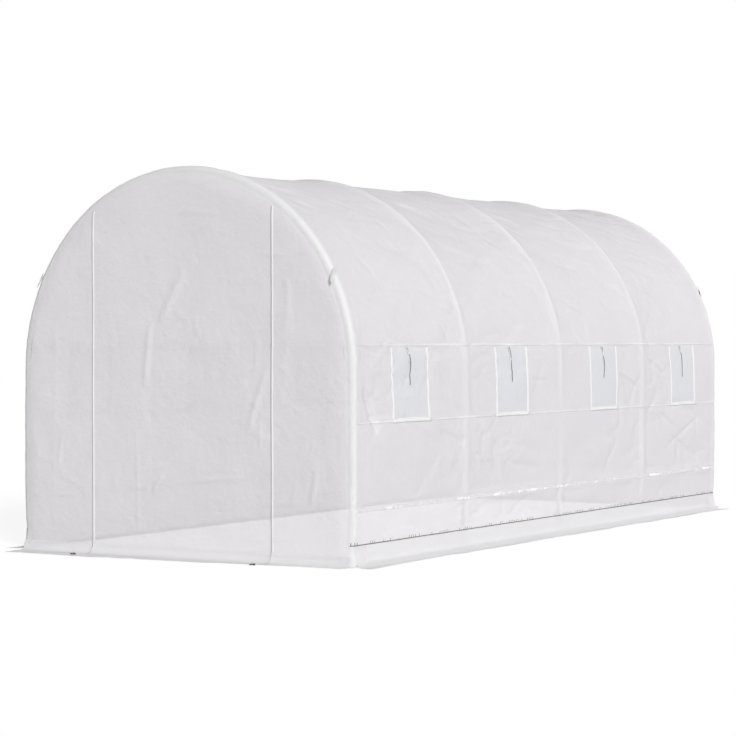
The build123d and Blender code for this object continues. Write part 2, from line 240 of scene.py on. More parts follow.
def sheet_finish(name, pale, dull, glow, clear, scrim, scrim_pitch, kind="plain"):
    """Translucent reinforced sheet: it scatters light both ways and shows a little through.

    The roof kind has drawn folds with painted shade in them and a band of painted shade
    along its crown. The sleeve kind is doubled over the tube and has painted shade along
    the crest where it bends round it.
    """
    paint = material_paint(name)
    across, along = paint.cut()
    threads = (across.ribs(scrim_pitch) ** 6.0).at_least(along.ribs(scrim_pitch) ** 6.0)
    mottle = paint.cloud(45.0, 4.0, roughness=0.62)
    clouds = paint.cloud(3.5, 2.0)
    shade = mottle * 0.55 + clouds * 0.45
    colour = paint.blend(shade, dull, pale)
    creases = paint.cloud(24.0, 5.0, roughness=0.6)
    relief = paint.bump(creases, 0.0045, 0.8)
    relief = paint.bump(threads, 0.00025, 0.6, relief)
    if kind == "roof":
        folds = drawn_lines(paint, across, along)
        # Painted shade: the colour darkens in the drawn folds and in a band along the crown.
        crown_shade = (1.0 - (along - SECTION / 2).size() / 0.22).at_least(0.0)
        marks = folds * 0.7 + crown_shade * (0.15 + 0.5 * clouds)
        colour = paint.blend(marks.at_most(0.8), colour, tint(0.42, 0.41, 0.42))
        relief = paint.bump(folds, 0.0020, 0.8, relief)
    if kind == "sleeve":
        double = doubled(across, along)
        colour = paint.blend(double, colour, tint(0.89, 0.885, 0.89))
        # Painted shade: the roll's crest, which faces the lamp, is greyer to tone down its
        # highlight.
        crest = 1.0 - (across - (SIDE_RUN + 0.85 * ROLL)).size() / (1.2 * ROLL)
        colour = paint.blend(crest.at_least(0.0), colour, tint(0.81, 0.805, 0.81))
    face = paint.coat(colour, 0.46 + 0.12 * mottle, relief, Specular_IOR_Level=0.35)
    through = paint.node("ShaderNodeBsdfTranslucent", inputs={"Color": glow, "Normal": relief})
    body = paint.mix(0.26, face, through)
    open_part = paint.node("ShaderNodeBsdfTransparent", inputs={"Color": tint(0.97, 0.97, 0.98)})
    share = clear + 0.03 * (clouds - 0.5) - scrim * threads
    if kind == "sleeve":
        share = share * (1.0 - 0.70 * double)
    return paint.finish(paint.mix(share, body, open_part))


def tape_finish(name, pale, dull, thread, half_width, patchy=0.0):
    """Woven tape with ribs along it and a row of stitches near each edge.

    A patchy one is worn back to the tone of the sheet here and there.
    """
    paint = material_paint(name)
    across, along = paint.cut()
    ribs = across.ribs(RIB) * 0.6 + along.ribs(RIB * 0.6) * 0.4
    mottle = paint.cloud(60.0, 3.0)
    colour = paint.blend(mottle * 0.7 + ribs * 0.3, dull, pale)
    row = 1.0 - ((across.size() - half_width * 0.72).size()).above(0.0006)
    stitch = row * along.ribs(0.006).above(0.35)
    colour = paint.blend(stitch * 0.6, colour, thread)
    if patchy:
        worn = (paint.cloud(3.0, 3.0, roughness=0.6) - 0.40) * 5.0
        worn = worn.at_least(0.0).at_most(1.0)
        colour = paint.blend(worn * patchy, colour, tint(0.74, 0.725, 0.74))
    relief = paint.bump(ribs, 0.00025, 0.8)
    relief = paint.bump(paint.cloud(30.0, 3.0), 0.002, 0.4, relief)
    relief = paint.bump(row, 0.0006, 0.7, relief)
    face = paint.coat(colour, 0.62 + 0.1 * mottle, relief, Specular_IOR_Level=0.3)
    through = paint.node("ShaderNodeBsdfTranslucent", inputs={"Color": pale, "Normal": relief})
    return paint.finish(paint.mix(0.16, face, through))


def rail_touch_light_finish():
    """Seam over the low rail: painted light where the sheet touches the white rail, faint
    between.
    """
    paint = material_paint("low_seam_weld")
    across, along = paint.cut()
    broken = paint.cloud(6.0, 3.0, roughness=0.6)
    # Painted light: bright, nearly opaque patches where the white rail behind lights the sheet.
    touch = ((broken - 0.44) * 6.0).at_least(0.45).at_most(1.0)
    edge = (across.size() / 0.011) ** 3.0
    cover = touch * (1.0 - edge.at_most(1.0))
    fine = paint.cloud(80.0, 3.0)
    colour = paint.blend(fine, tint(0.88, 0.87, 0.88), tint(0.96, 0.955, 0.96))
    relief = paint.bump(paint.cloud(35.0, 4.0), 0.003, 0.5)
    face = paint.coat(colour, 0.40 + 0.1 * fine, relief, Specular_IOR_Level=0.4)
    clear = paint.node("ShaderNodeBsdfTransparent")
    return paint.finish(paint.mix(cover, clear, face))


def hem_finish():
    """Hem line: a dark sewn thread with short upright ticks above it."""
    paint = material_paint("hem_thread")
    across, along = paint.cut()
    waver = paint.cloud(14.0, 3.0)
    line = 1.0 - (across + 0.006 + 0.003 * (waver - 0.5)).size().above(0.0026)
    ticks = along.ribs(0.021).above(0.90) * across.above(-0.006) * (1.0 - across.above(0.008))
    ticks = ticks * waver.above(0.5) * 0.75
    cover = line.at_least(ticks)
    fine = paint.cloud(120.0, 2.0)
    colour = paint.blend(fine, tint(0.13, 0.13, 0.13), tint(0.26, 0.25, 0.25))
    face = paint.coat(colour, 0.75, paint.bump(along.ribs(0.004), 0.0006, 0.8))
    clear = paint.node("ShaderNodeBsdfTransparent")
    return paint.finish(paint.mix(cover, clear, face))


def tube_finish():
    """White powder coat with faint orange peel and dulled rub marks."""
    paint = material_paint("powder_coat")
    peel = paint.cloud(420.0, 2.0)
    rub = paint.cloud(9.0, 5.0, roughness=0.65)
    colour = paint.blend(rub, tint(0.86, 0.87, 0.87), tint(0.94, 0.94, 0.94))
    relief = paint.bump(peel, 0.0004, 0.35)
    return paint.finish(paint.coat(colour, 0.32 + 0.18 * rub, relief, Coat_Weight=0.15))


def clamp_finish():
    """Moulded plastic with a fine grain."""
    paint = material_paint("moulded_plastic")
    grain = paint.cloud(700.0, 3.0)
    age = paint.cloud(12.0, 3.0)
    colour = paint.blend(age, tint(0.60, 0.60, 0.60), tint(0.72, 0.72, 0.71))
    relief = paint.bump(grain, 0.0003, 0.6)
    return paint.finish(paint.coat(colour, 0.48 + 0.15 * grain, relief))


def webbing_finish(name, pale, dull):
    """Narrow webbing with slanted ribs."""
    paint = material_paint(name)
    across, along = paint.cut()
    ribs = (across.size() + along).ribs(WEAVE)
    fluff = paint.cloud(300.0, 3.0)
    colour = paint.blend(ribs * 0.6 + fluff * 0.4, dull, pale)
    relief = paint.bump(ribs, 0.0005, 0.9)
    return paint.finish(paint.coat(colour, 0.85, relief, Sheen_Weight=0.2))


def net_finish():
    """Fine insect net: thin threads with open holes between them."""
    paint = material_paint("insect_net")
    across, along = paint.cut()
    threads = across.ribs(MESH).at_least(along.ribs(MESH))
    fine = paint.cloud(200.0, 2.0)
    colour = paint.blend(fine, tint(0.86, 0.87, 0.89), tint(0.93, 0.94, 0.95))
    face = paint.coat(colour, 0.6, paint.bump(threads, 0.0003, 0.6))
    clear = paint.node("ShaderNodeBsdfTransparent")
    return paint.finish(paint.mix(threads.above(0.86), clear, face))


def zip_finish():
    """Zip tape with its coil down the middle and a shadowed fold along one edge."""
    paint = material_paint("zip_tape")
    across, along = paint.cut()
    coil = (1.0 - (across.size() / 0.0030)).at_least(0.0) * along.ribs(0.0026)
    fold = 1.0 - (across + 0.0056).size().above(0.0013)
    fine = paint.cloud(90.0, 3.0)
    colour = paint.blend(fine, tint(0.68, 0.67, 0.68), tint(0.79, 0.78, 0.79))
    colour = paint.blend(fold * 0.7, colour, tint(0.36, 0.36, 0.37))
    relief = paint.bump(coil, 0.0012, 0.9)
    return paint.finish(paint.coat(colour, 0.5 + 0.2 * fine, relief))


def slider_finish():
    paint = material_paint("slider_enamel")
    wear = paint.cloud(90.0, 4.0, roughness=0.7)
    colour = paint.blend(wear, tint(0.035, 0.035, 0.037), tint(0.12, 0.12, 0.12))
    relief = paint.bump(wear, 0.0004, 0.5)
    return paint.finish(paint.coat(colour, 0.35 + 0.25 * wear, relief, Metallic=0.6))


film_look = (
    tint(0.945, 0.927, 0.945), tint(0.855, 0.837, 0.855), tint(0.945, 0.93, 0.945),
    0.18, 0.04, SCRIM
)
film = sheet_finish("cover_film", *film_look)
roof_film = sheet_finish("roof_film", *film_look, kind="roof")
sleeve_film = sheet_finish("sleeve_film", *film_look, kind="sleeve")
pane_film = sheet_finish(
    "pane_film", tint(0.89, 0.895, 0.92), tint(0.81, 0.815, 0.84), tint(0.89, 0.895, 0.92),
    0.17, 0.06, PANE_SCRIM
)
seam_tape = tape_finish(
    "seam_tape", tint(0.93, 0.92, 0.93), tint(0.82, 0.81, 0.82), tint(0.75, 0.74, 0.75), 0.006,
    patchy=0.75
)
binding_tape = tape_finish(
    "binding_tape", tint(0.97, 0.965, 0.965), tint(0.90, 0.895, 0.90), tint(0.60, 0.60, 0.61),
    0.009
)
skirt_film = sheet_finish(
    "skirt_film", tint(0.91, 0.90, 0.91), tint(0.83, 0.82, 0.83), tint(0.92, 0.91, 0.92),
    0.08, 0.04, SCRIM
)
tie_webbing = webbing_finish("tie_webbing", tint(0.20, 0.20, 0.205), tint(0.09, 0.09, 0.095))
# Painted shadow: a near black band along the inside foot of each wall.
ground_shadow_band = webbing_finish("ground_shadow_band", tint(0.05, 0.05, 0.05), tint(0.02, 0.02, 0.02))
strap_webbing = webbing_finish("strap_webbing", tint(0.93, 0.93, 0.92), tint(0.80, 0.80, 0.80))
tab_webbing = webbing_finish("tab_webbing", tint(0.80, 0.80, 0.79), tint(0.50, 0.50, 0.50))
seam_weld = rail_touch_light_finish()
hem_thread = hem_finish()
powder_coat = tube_finish()
moulded_plastic = clamp_finish()
insect_net = net_finish()
zip_tape = zip_finish()
slider_enamel = slider_finish()


# Cloth

def lines(breaks, cell):
    """Grid lines that pass through every break and lie at most one cell apart."""
    found = [breaks[0]]
    for start, end in zip(breaks[:-1], breaks[1:]):
        count = max(1, int(np.ceil((end - start) / cell)))
        found.extend(start + (end - start) * (step + 1) / count for step in range(count))
    return np.array(found)


def cloth(name, patches, material, holes=()):
    """A cloth piece: flat grids, less their holes, whose points move to where shape says.

    Each patch is (lines across, lines along, shape). The flat cut stays as the piece's own
    map, and the area of the cut comes back with the piece.
    """
    bm = bmesh.new()
    moved = []
    for across, along, shape in patches:
        counts = (len(across) - 1, len(along) - 1)
        grid = bmesh.ops.create_grid(bm, x_segments=counts[0], y_segments=counts[1], size=0.5)
        for point in grid["verts"]:
            u = across[round((point.co.x + 0.5) * counts[0])]
            v = along[round((point.co.y + 0.5) * counts[1])]
            point.co = (u, v, 0.0)
        cells = {face for point in grid["verts"] for face in point.link_faces}
        cut_out = [face for face in cells if in_holes(face.calc_center_median(), holes)]
        bmesh.ops.delete(bm, geom=cut_out, context="FACES")
        moved.append(([point for point in grid["verts"] if point.is_valid], shape))
    area = sum(face.calc_area() for face in bm.faces)
    layer = bm.loops.layers.uv.new("cut")
    for face in bm.faces:
        for corner in face.loops:
            corner[layer].uv = corner.vert.co.xy
    for points, shape in moved:
        flat = np.array([point.co.xy[:] for point in points])
        for point, place in zip(points, shape(flat[:, 0], flat[:, 1])):
            point.co = place
    return piece_from(name, bm, material), area


def in_holes(centre, holes):
    return any(a < centre.x < b and c < centre.y < d for a, b, c, d in holes)


def piece_from(name, bm, material):
    mesh = bpy.data.meshes.new(name)
    bm.to_mesh(mesh)
    bm.free()
    mesh.polygons.foreach_set("use_smooth", [True] * len(mesh.polygons))
    mesh.materials.append(material)
    made = bpy.data.objects.new(name, mesh)
    scene.collection.objects.link(made)
    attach(made, "root")
    return made


def thicken(made, thickness):
    """Give a strip its thickness, half to each side of its middle."""
    shell = made.modifiers.new("thickness", "SOLIDIFY")
    shell.thickness = thickness
    shell.offset = 0.0


def lattice(i, j, seed):
    """A steady random number from 0 to 1 for each whole (i, j)."""
    mixed = np.sin(i * 127.1 + j * 311.7 + seed * 74.7) * 43758.5453
    return mixed - np.floor(mixed)


def noise(a, b, size, seed=0):
    """Smooth random heights from -1 to 1, with hills about one size apart."""
    i, j = np.floor(a / size), np.floor(b / size)
    fa, fb = a / size - i, b / size - j
    fa = fa * fa * (3 - 2 * fa)
    fb = fb * fb * (3 - 2 * fb)
    low = lattice(i, j, seed) * (1 - fa) + lattice(i + 1, j, seed) * fa
    high = lattice(i, j + 1, seed) * (1 - fa) + lattice(i + 1, j + 1, seed) * fa
    return 2 * (low * (1 - fb) + high * fb) - 1


def rumple(a, b, size, seed=0):
    """Sharp branching crease lines, from 0 between them to 1 on them."""
    warp = size * 0.6
    a = a + warp * noise(a, b, size * 1.7, seed + 5)
    b = b + warp * noise(a, b, size * 1.7, seed + 6)
    hills = noise(a, b, size, seed) * 0.65 + noise(a, b, size * 0.47, seed + 1) * 0.35
    return np.clip(1 - np.abs(hills) * 2.6, 0, 1) ** 2


def ease(value, low, high):
    share = np.clip((value - low) / (high - low), 0, 1)
    return share * share * (3 - 2 * share)


def fold(a, b, start, end, width, height):
    """A single fold from start to end: it rises or sinks by height and fades at its ends."""
    along = np.array(end) - np.array(start)
    length = np.hypot(*along)
    along = along / length
    far = (a - start[0]) * along[0] + (b - start[1]) * along[1]
    off = (b - start[1]) * along[0] - (a - start[0]) * along[1]
    taper = np.clip(far / length, 0, 1)
    taper = np.clip(4 * taper * (1 - taper), 0, 1) ** 0.5
    return height * taper * np.exp(-(off / width) ** 2)


def streaks(y, s, slope, long, wide, seed):
    """Fine drawn folds that run at a slope to the ridge."""
    reach = sqrt(1 + slope * slope)
    along = (y + s * slope) / reach
    off = (s - y * slope) / reach
    off = off + wide * 0.8 * noise(along, off, long * 0.7, seed + 3)
    hills = noise(along * wide / long, off, wide, seed)
    return np.clip(hills, 0, 1) ** 1.3


# Folds of the right side of the cover: from and to (distance along the tunnel, distance round
# the section), half width, height. The left side gets the same ones turned end for end.
RIGHT_FOLDS = [
    ((-2.17, 0.86), (-2.03, 0.64), 0.024, -0.022),
    ((-1.42, 0.63), (-1.15, 0.56), 0.010, -0.005),
    ((-1.35, 1.19), (-1.28, 1.08), 0.009, -0.004),
    ((0.77, 0.89), (1.08, 0.795), 0.010, -0.007),
    ((1.18, 0.98), (1.52, 0.85), 0.011, -0.008),
    ((1.17, 0.93), (1.44, 0.80), 0.009, -0.005),
    ((1.38, 0.64), (1.62, 0.545), 0.012, -0.008),
    ((1.47, 0.43), (1.97, 0.60), 0.011, -0.006),
    ((1.53, 0.50), (1.97, 0.345), 0.010, -0.006),
    ((0.33, 1.58), (0.64, 1.54), 0.010, -0.006),
    ((0.16, 1.33), (0.53, 1.23), 0.011, -0.006),
    ((0.08, 1.17), (0.27, 1.09), 0.010, -0.006),
    ((0.25, 1.37), (0.48, 1.34), 0.008, -0.004),
    ((0.38, 1.21), (0.73, 1.165), 0.009, -0.004),
    ((1.36, 2.04), (1.62, 1.80), 0.010, -0.008),
    ((1.48, 2.01), (1.94, 1.84), 0.010, -0.007),
    ((1.24, 1.45), (1.57, 1.37), 0.011, -0.006),
    ((1.34, 1.26), (1.58, 1.13), 0.009, -0.005),
    ((-0.15, 1.92), (0.23, 1.865), 0.009, -0.006),
    ((-0.91, 1.53), (-0.46, 1.57), 0.012, -0.005),
    ((-1.09, 2.02), (-0.74, 1.98), 0.009, -0.007),
    ((-1.49, 1.92), (-1.77, 1.79), 0.008, -0.005),
    ((0.05, 2.00), (0.28, 1.95), 0.009, -0.006),
    ((0.19, 0.872), (0.36, 0.870), 0.007, -0.004),
    ((-0.36, 0.872), (-0.15, 0.868), 0.007, -0.004),
]

# Folds of the door end: from and to (across, up), half width, height
FRONT_FOLDS = [
    ((-0.787, 1.34), (-0.789, 0.05), 0.005, 0.0035),
    ((-0.81, 1.221), (-0.58, 1.212), 0.005, 0.0035),
    ((-0.79, 0.293), (-0.66, 0.297), 0.005, 0.003),
    ((-0.264, 0.60), (-0.265, 0.07), 0.006, 0.003),
    ((-0.28, 0.426), (-0.07, 0.468), 0.007, 0.004),
    ((-0.18, 0.312), (-0.10, 0.43), 0.007, 0.004),
    ((-0.90, 0.865), (-0.64, 0.975), 0.007, 0.004),
    ((-0.19, 1.18), (-0.22, 0.86), 0.014, 0.006),
    ((0.02, 1.43), (-0.13, 1.18), 0.020, 0.006),
    ((0.51, 0.94), (0.41, 0.66), 0.014, 0.006),
    ((0.469, 0.73), (0.478, 0.54), 0.008, 0.004),
    ((0.44, 1.515), (0.61, 1.507), 0.006, 0.003),
    ((-0.06, 0.379), (0.39, 0.409), 0.009, 0.003),
    ((0.46, 0.290), (0.71, 0.301), 0.007, 0.003),
    ((0.03, 0.742), (0.17, 0.741), 0.006, 0.003),
    ((-0.742, 0.60), (-0.766, 0.45), 0.010, 0.004),
    ((0.80, 0.47), (0.768, 0.28), 0.011, 0.005),
    ((0.63, 1.39), (0.64, 1.21), 0.012, 0.004),
    ((0.085, 1.21), (0.107, 1.10), 0.010, 0.003),
    ((-0.03, 1.24), (0.06, 1.16), 0.009, 0.003),
    ((-0.02, 1.737), (0.21, 1.714), 0.009, 0.003),
    ((-0.31, 0.349), (-0.18, 0.349), 0.008, 0.004),
]


def bulge(from_end):
    """How far the walls stand out beyond the legs, at a distance up from the ground."""
    return 0.008 * ease(from_end, 0.02, 0.35) * (1 - ease(from_end, 0.75, 1.5))


def between_hoops(y):
    """How far the sheet dips between its hoops, and the distance behind the last hoop."""
    dip = np.zeros_like(y)
    behind = np.full_like(y, 9.0)
    for start, end in zip(BAYS[:-1], BAYS[1:]):
        inside = (y >= start) & (y <= end)
        share = np.clip((y - start) / (end - start), 0, 1)
        away = np.abs(2 * share - 1)
        dip = np.where(inside, -DIP * (1 - 0.55 * away ** 2 - 0.45 * away ** 6), dip)
        behind = np.where(inside, y - start, behind)
    return dip, behind


def wrinkles(y, s, from_end, behind):
    """Rumples, fine folds drawn from the hoops, loose folds and single folds of the cover."""
    slack = y * 0.45
    rough = 0.0045 * noise(slack, s, 0.30, 1) + 0.0030 * noise(slack, s, 0.12, 2)
    rough = rough - 0.0070 * rumple(slack, s, 0.17, 3) * (0.55 + 0.45 * noise(y, s, 0.8, 4))
    rough = rough - 0.0035 * rumple(slack, s, 0.08, 13) * np.clip(noise(y, s, 0.5, 14) * 2, 0, 1)
    from_crown = np.abs(s - SECTION / 2)
    crown = (1 - ease(from_crown, 0.45, 1.0)) * (1 - ease(behind, 0.05, 0.62))
    drawn = streaks(y, -from_end, 0.45, 0.30, 0.030, 7)
    rough = rough - 0.0120 * drawn * crown
    shoulder = ease(from_end, 0.75, 1.2) * (1 - 0.6 * crown)
    rearward = ease(y, -0.1, 0.9) * 0.6 + 0.25
    loose = streaks(y, -from_end, 0.14, 0.40, 0.036, 17)
    rough = rough - 0.0100 * loose * shoulder * rearward * (0.5 + 0.5 * noise(y, s, 0.5, 9))
    for start, end, width, sink in RIGHT_FOLDS:
        rough = rough + fold(y, s, start, end, width, sink)
        turned = ((-start[0], SECTION - start[1]), (-end[0], SECTION - end[1]))
        rough = rough + 0.8 * fold(y, s, *turned, width, sink)
    return rough


def cover_height(y, s):
    """How far the cover stands out from its round section, with its dips and folds."""
    dip, behind = between_hoops(y)
    from_end = np.minimum(s, SECTION - s)
    rough = wrinkles(y, s, from_end, behind)
    near_hoop = np.min([np.abs(y - hoop) for hoop in HOOPS], axis=0)
    grip = 1 - ease(near_hoop, 0.012, 0.07)
    grip = np.maximum(grip, 1 - ease(np.abs(from_end - LOW_SEAM), 0.012, 0.05))
    rough = np.where(rough < 0, rough * (1 - grip), rough * (1 - 0.6 * grip))
    rough = rough * (0.4 + 0.6 * (1 - ease(np.abs(y), 2.05, 2.2)))
    above_hem = ease(from_end, HEM, HEM + 0.06)
    pressed = 0.0020 * np.exp(-(near_hoop / 0.028) ** 2) * (1 - ease(from_end, 0.9, 1.5))
    height = dip * ease(from_end, 0.50, 1.75) + bulge(from_end)
    return height + rough * (0.3 + 0.7 * above_hem) + pressed * above_hem


def section_place(y, s, out):
    """The point at a distance round the section, standing out from it by so much."""
    angle = np.clip(s - SPRING, 0, pi)
    radius = SKIN + out
    low = np.minimum(s, SPRING)
    high = np.maximum(s - SPRING - pi, 0)
    x = radius * np.cos(angle)
    z = low + radius * np.sin(angle) - high
    return np.stack([x, y, z], axis=1)


def on_cover(y, s, lift=0.0):
    return section_place(y, s, cover_height(y, s) + lift)


# The sheets' grid: its cells along the tunnel, and the lines that it has to keep. The sheets
# are cut longer than they show, because they run on under the sleeves, as the bands do.
CELL = 0.0100
SHEET_END = SLEEVE_START + 0.003
BAND_END = 2.228
ALONG = [-SHEET_END, *HOOPS[1:4], SHEET_END]


def band_on_cover(middle, half, lift):
    """A strip along the tunnel, laid on the cover, with its edges pressed down."""
    across = lines([-half, 0.0, half], half / 2)
    along = lines([-BAND_END, *ALONG, BAND_END], CELL)

    def shape(u, y):
        press = 1 - (np.abs(u) / half) ** 2 * 0.6
        return on_cover(y, middle + u, lift * press)
    return across, along, shape


roof, roof_area = cloth("roof_sheet", [
    (lines(ALONG, CELL), lines([TOP_SEAM, SECTION / 2, SECTION - TOP_SEAM], 0.0135), on_cover)
], roof_film)


# Walls with their windows: an opening, a net behind it, and a flap sewn along the top seam.
# Heights on a wall turn into distances round the section through at.
OPEN_HALF = 0.164
OPEN_RISE = 0.149
WINDOW_MIDDLE = TOP_SEAM - 0.185
SILL = WINDOW_MIDDLE - OPEN_RISE
HEAD = WINDOW_MIDDLE + OPEN_RISE
FLAP_FOOT = TOP_SEAM - 0.37
FLAP_HALF = 0.181
NET_HALF = 0.163

# Window bindings: half widths of the side and foot strips, half lengths, and the side strips'
# distance from the window's middle, which is also their middle's height over the flap's foot
SIDE_BINDING = 0.010
FOOT_BINDING = 0.011
SIDE_LENGTH = 0.184
FOOT_LENGTH = 0.192
BINDING_OFF = 0.182


def patch_on_cover(at, y0, y1, h0, h1, lift, cell, puff=0.0):
    """A small cloth on a wall between two places along it and two heights."""
    half_y = (y1 - y0) / 2
    half_h = (h1 - h0) / 2

    def shape(u, v):
        rise = puff * (1 - (u / half_y) ** 2) * (1 - (v / half_h) ** 2)
        return on_cover((y0 + y1) / 2 + u, at((h0 + h1) / 2 + v), lift + rise)
    return lines([-half_y, half_y], cell), lines([-half_h, half_h], cell), shape


def binding_strips(at, w):
    """Two side strips, slightly bowed, and a wider bottom strip."""
    def side_strip(side):
        def shape(u, v):
            y = w + side * BINDING_OFF + u - side * 0.003 * (1 - (v / 0.18) ** 2)
            press = 0.0018 * (1 - (u / SIDE_BINDING) ** 4)
            return on_cover(y, at(FLAP_FOOT + BINDING_OFF + v), 0.0012 + press)
        across = lines([-SIDE_BINDING, SIDE_BINDING], 0.004)
        return across, lines([-SIDE_LENGTH, SIDE_LENGTH], 0.014), shape

    def foot_shape(u, v):
        height = FLAP_FOOT + 0.002 + u + 0.002 * np.cos(v / 0.19 * pi / 2)
        press = 0.0018 * (1 - (u / FOOT_BINDING) ** 4)
        return on_cover(w + v, at(height), 0.0016 + press)
    across = lines([-FOOT_BINDING, FOOT_BINDING], 0.004)
    along = lines([-FOOT_LENGTH, FOOT_LENGTH], 0.014)
    return [side_strip(-1), side_strip(1), (across, along, foot_shape)]


def tie_strip(at, w, number, width, length, start, stand, bow):
    """A strip hanging down the pane from the top seam, curved and a little lifted."""
    def shape(u, v):
        down = v / length
        y = w + start + u + bow * np.sin(down * 0.8 * pi)
        swell = stand * (0.4 + np.sin(down * pi * 1.4 + number) ** 2)
        return on_cover(y, at(TOP_SEAM - 0.008 - v), 0.0030 + swell)
    half = width / 2
    return lines([-half, half], width / 3), lines([0.0, length], 0.006), shape


def ground_shadow_strip(side):
    """A dark strip standing on the ground along the inside of a wall, as painted shadow where the
    wall meets the ground.
    """
    def shape(y, v):
        return np.stack([side * (SKIN - 0.002 + 0 * y), y, v + 0.001], axis=1)
    return lines([-2.24, 2.24], 0.03), lines([0.0, 0.017], 0.006), shape


def side_wall(word, side):
    """A wall sheet and all that is sewn to it."""
    def at(height):
        return height if side > 0 else SECTION - height
    window_edges = [w + edge * OPEN_HALF for w in WINDOWS for edge in (-1, 1)]
    y_lines = lines(sorted([*ALONG, *window_edges]), CELL)
    s_breaks = sorted(at(h) for h in (HEM, LOW_SEAM, MIDDLE_SEAM, SILL, HEAD, TOP_SEAM))
    holes = [(w - OPEN_HALF, w + OPEN_HALF, *sorted((at(SILL), at(HEAD)))) for w in WINDOWS]
    wall, area = cloth(
        f"wall_sheet_{word}", [(y_lines, lines(s_breaks, CELL), on_cover)], film, holes
    )
    panes, pane_area = cloth(f"window_panes_{word}", [
        patch_on_cover(
            at, w - FLAP_HALF, w + FLAP_HALF, FLAP_FOOT + 0.014, TOP_SEAM - 0.008,
            0.0012, 0.014, 0.002
        )
        for w in WINDOWS
    ], pane_film)
    nets, net_area = cloth(f"window_nets_{word}", [
        patch_on_cover(
            at, w - NET_HALF, w + NET_HALF, FLAP_FOOT + 0.037, TOP_SEAM - 0.037, -0.0012, 0.02
        )
        for w in WINDOWS
    ], insect_net)
    bindings, _ = cloth(
        f"window_bindings_{word}",
        [strip for w in WINDOWS for strip in binding_strips(at, w)], binding_tape
    )
    thicken(bindings, 0.0012)
    ties, _ = cloth(f"window_ties_{word}", [
        tie_strip(at, w, number, 0.0050, 0.185 + 0.012 * sin(3.0 * number), -0.024, 0.003,
                  0.020 - 0.004 * (number % 2))
        for number, w in enumerate(WINDOWS)
    ], tie_webbing)
    thicken(ties, 0.0010)
    straps, _ = cloth(f"window_straps_{word}", [
        tie_strip(at, w, number, 0.009, 0.070 + 0.01 * (number % 2), -0.038, 0.002, 0.022)
        for number, w in enumerate(WINDOWS)
    ], strap_webbing)
    thicken(straps, 0.0014)
    seams, _ = cloth(f"sewn_seams_{word}", [
        band_on_cover(at(TOP_SEAM + 0.006), 0.0065, 0.0024),
        band_on_cover(at(MIDDLE_SEAM), 0.0062, 0.0023),
    ], seam_tape)
    weld, _ = cloth(f"low_seam_{word}", [band_on_cover(at(LOW_SEAM), 0.011, 0.0018)], seam_weld)
    hem, _ = cloth(
        f"hem_line_{word}", [band_on_cover(at(HEM_LINE), HEM_LINE_HALF, 0.0014)], hem_thread
    )
    # Painted shadow along the inside foot of the wall.
    foot, _ = cloth(f"ground_shadow_line_{word}", [ground_shadow_strip(side)], ground_shadow_band)

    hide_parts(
        f"wall_{word}_window_band", f"wall_{word}_plain_band", f"wall_{word}_hem_band"
    )
    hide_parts(f"window_flaps_{word}")
    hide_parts(f"window_nets_{word}")
    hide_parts(f"window_bindings_{word}")
    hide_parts(f"window_ties_{word}")


side_wall("right", 1)
side_wall("left", -1)

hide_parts(*[f"roof_strip_{number}" for number in range(1, 7)])


# End panels: their rims lie under the sleeves' inner edges and fall back towards the tube

ARCH = SKIN - ROLL - FRONT_RUN + 0.003
FOOT = 0.052
FOOT_BEND = 0.042
ZIP_GAP = 0.006
RIM_FALL = 0.0060
RIM_WIDTH = 0.080
FRONT_SEED = 31
REAR_SEED = 57


def over_spring(z):
    return np.maximum(z - SPRING, 0)


def end_top(x):
    return SPRING + np.sqrt(np.maximum(ARCH ** 2 - x ** 2, 0))


def pull(radius):
    """How far an end sheet falls back towards its rim, where it bends over the tube."""
    share = np.clip((radius - (SKIN - RIM_WIDTH)) / (RIM_WIDTH - ROLL), 0, 1)
    return RIM_FALL * share ** 2


def end_height(x, z, seed, folds):
    """How far an end panel stands out from flat."""
    rough = 0.0034 * noise(x, z, 0.38, seed) + 0.0022 * noise(x, z, 0.15, seed + 1)
    rough = rough + 0.0030 * rumple(x, z, 0.17, seed + 2) * (0.5 + 0.5 * noise(x, z, 0.5, seed))
    for start, end, width, rise in folds:
        rough = rough + fold(x, z, start, end, width, rise)
    rim = np.hypot(x, over_spring(z))
    return rough * (1 - ease(rim, ARCH - 0.06, ARCH - 0.01)) * ease(z, 0.05, 0.14)


def end_panel(name, node, low_x, high_x, end, folds, seed):
    """A flat sheet of an end, from one side to another and from its foot up to the sleeve."""
    def shape(u, v):
        z = FOOT + (end_top(u) - FOOT) * v
        over = over_spring(z)
        out = PANEL + end_height(u, z, seed, folds) - pull(np.hypot(u, over))
        stretch = bulge(np.minimum(z, SPRING) + np.arctan2(over, np.abs(u))) / ARCH
        stretch = stretch * np.clip(np.hypot(u, over) / ARCH, 0, 1) ** 4
        return np.stack([u * (1 + stretch), end * out, z + over * stretch], axis=1)
    across = lines([low_x, high_x], 0.0125)
    made, _ = cloth(name, [(across, np.linspace(0, 1, 150), shape)], film)
    for corner in made.data.uv_layers["cut"].data:
        u, v = corner.uv
        corner.uv = (u, FOOT + (float(end_top(np.array(u))) - FOOT) * v)
    steps = np.linspace(low_x, high_x, 400)
    area = float(np.mean(end_top(steps) - FOOT)) * (high_x - low_x)
    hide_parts(node)


for name, node, low_x, high_x in (
    ("door_sheet", "door_panel", -DOOR + ZIP_GAP, DOOR - ZIP_GAP),
    ("front_sheet_left", "front_panel_left", -ARCH, -DOOR - ZIP_GAP),
    ("front_sheet_right", "front_panel_right", DOOR + ZIP_GAP, ARCH),
):
    end_panel(name, node, low_x, high_x, -1, FRONT_FOLDS, FRONT_SEED)
end_panel("rear_sheet", "rear_panel", -ARCH, ARCH, 1, [], REAR_SEED)


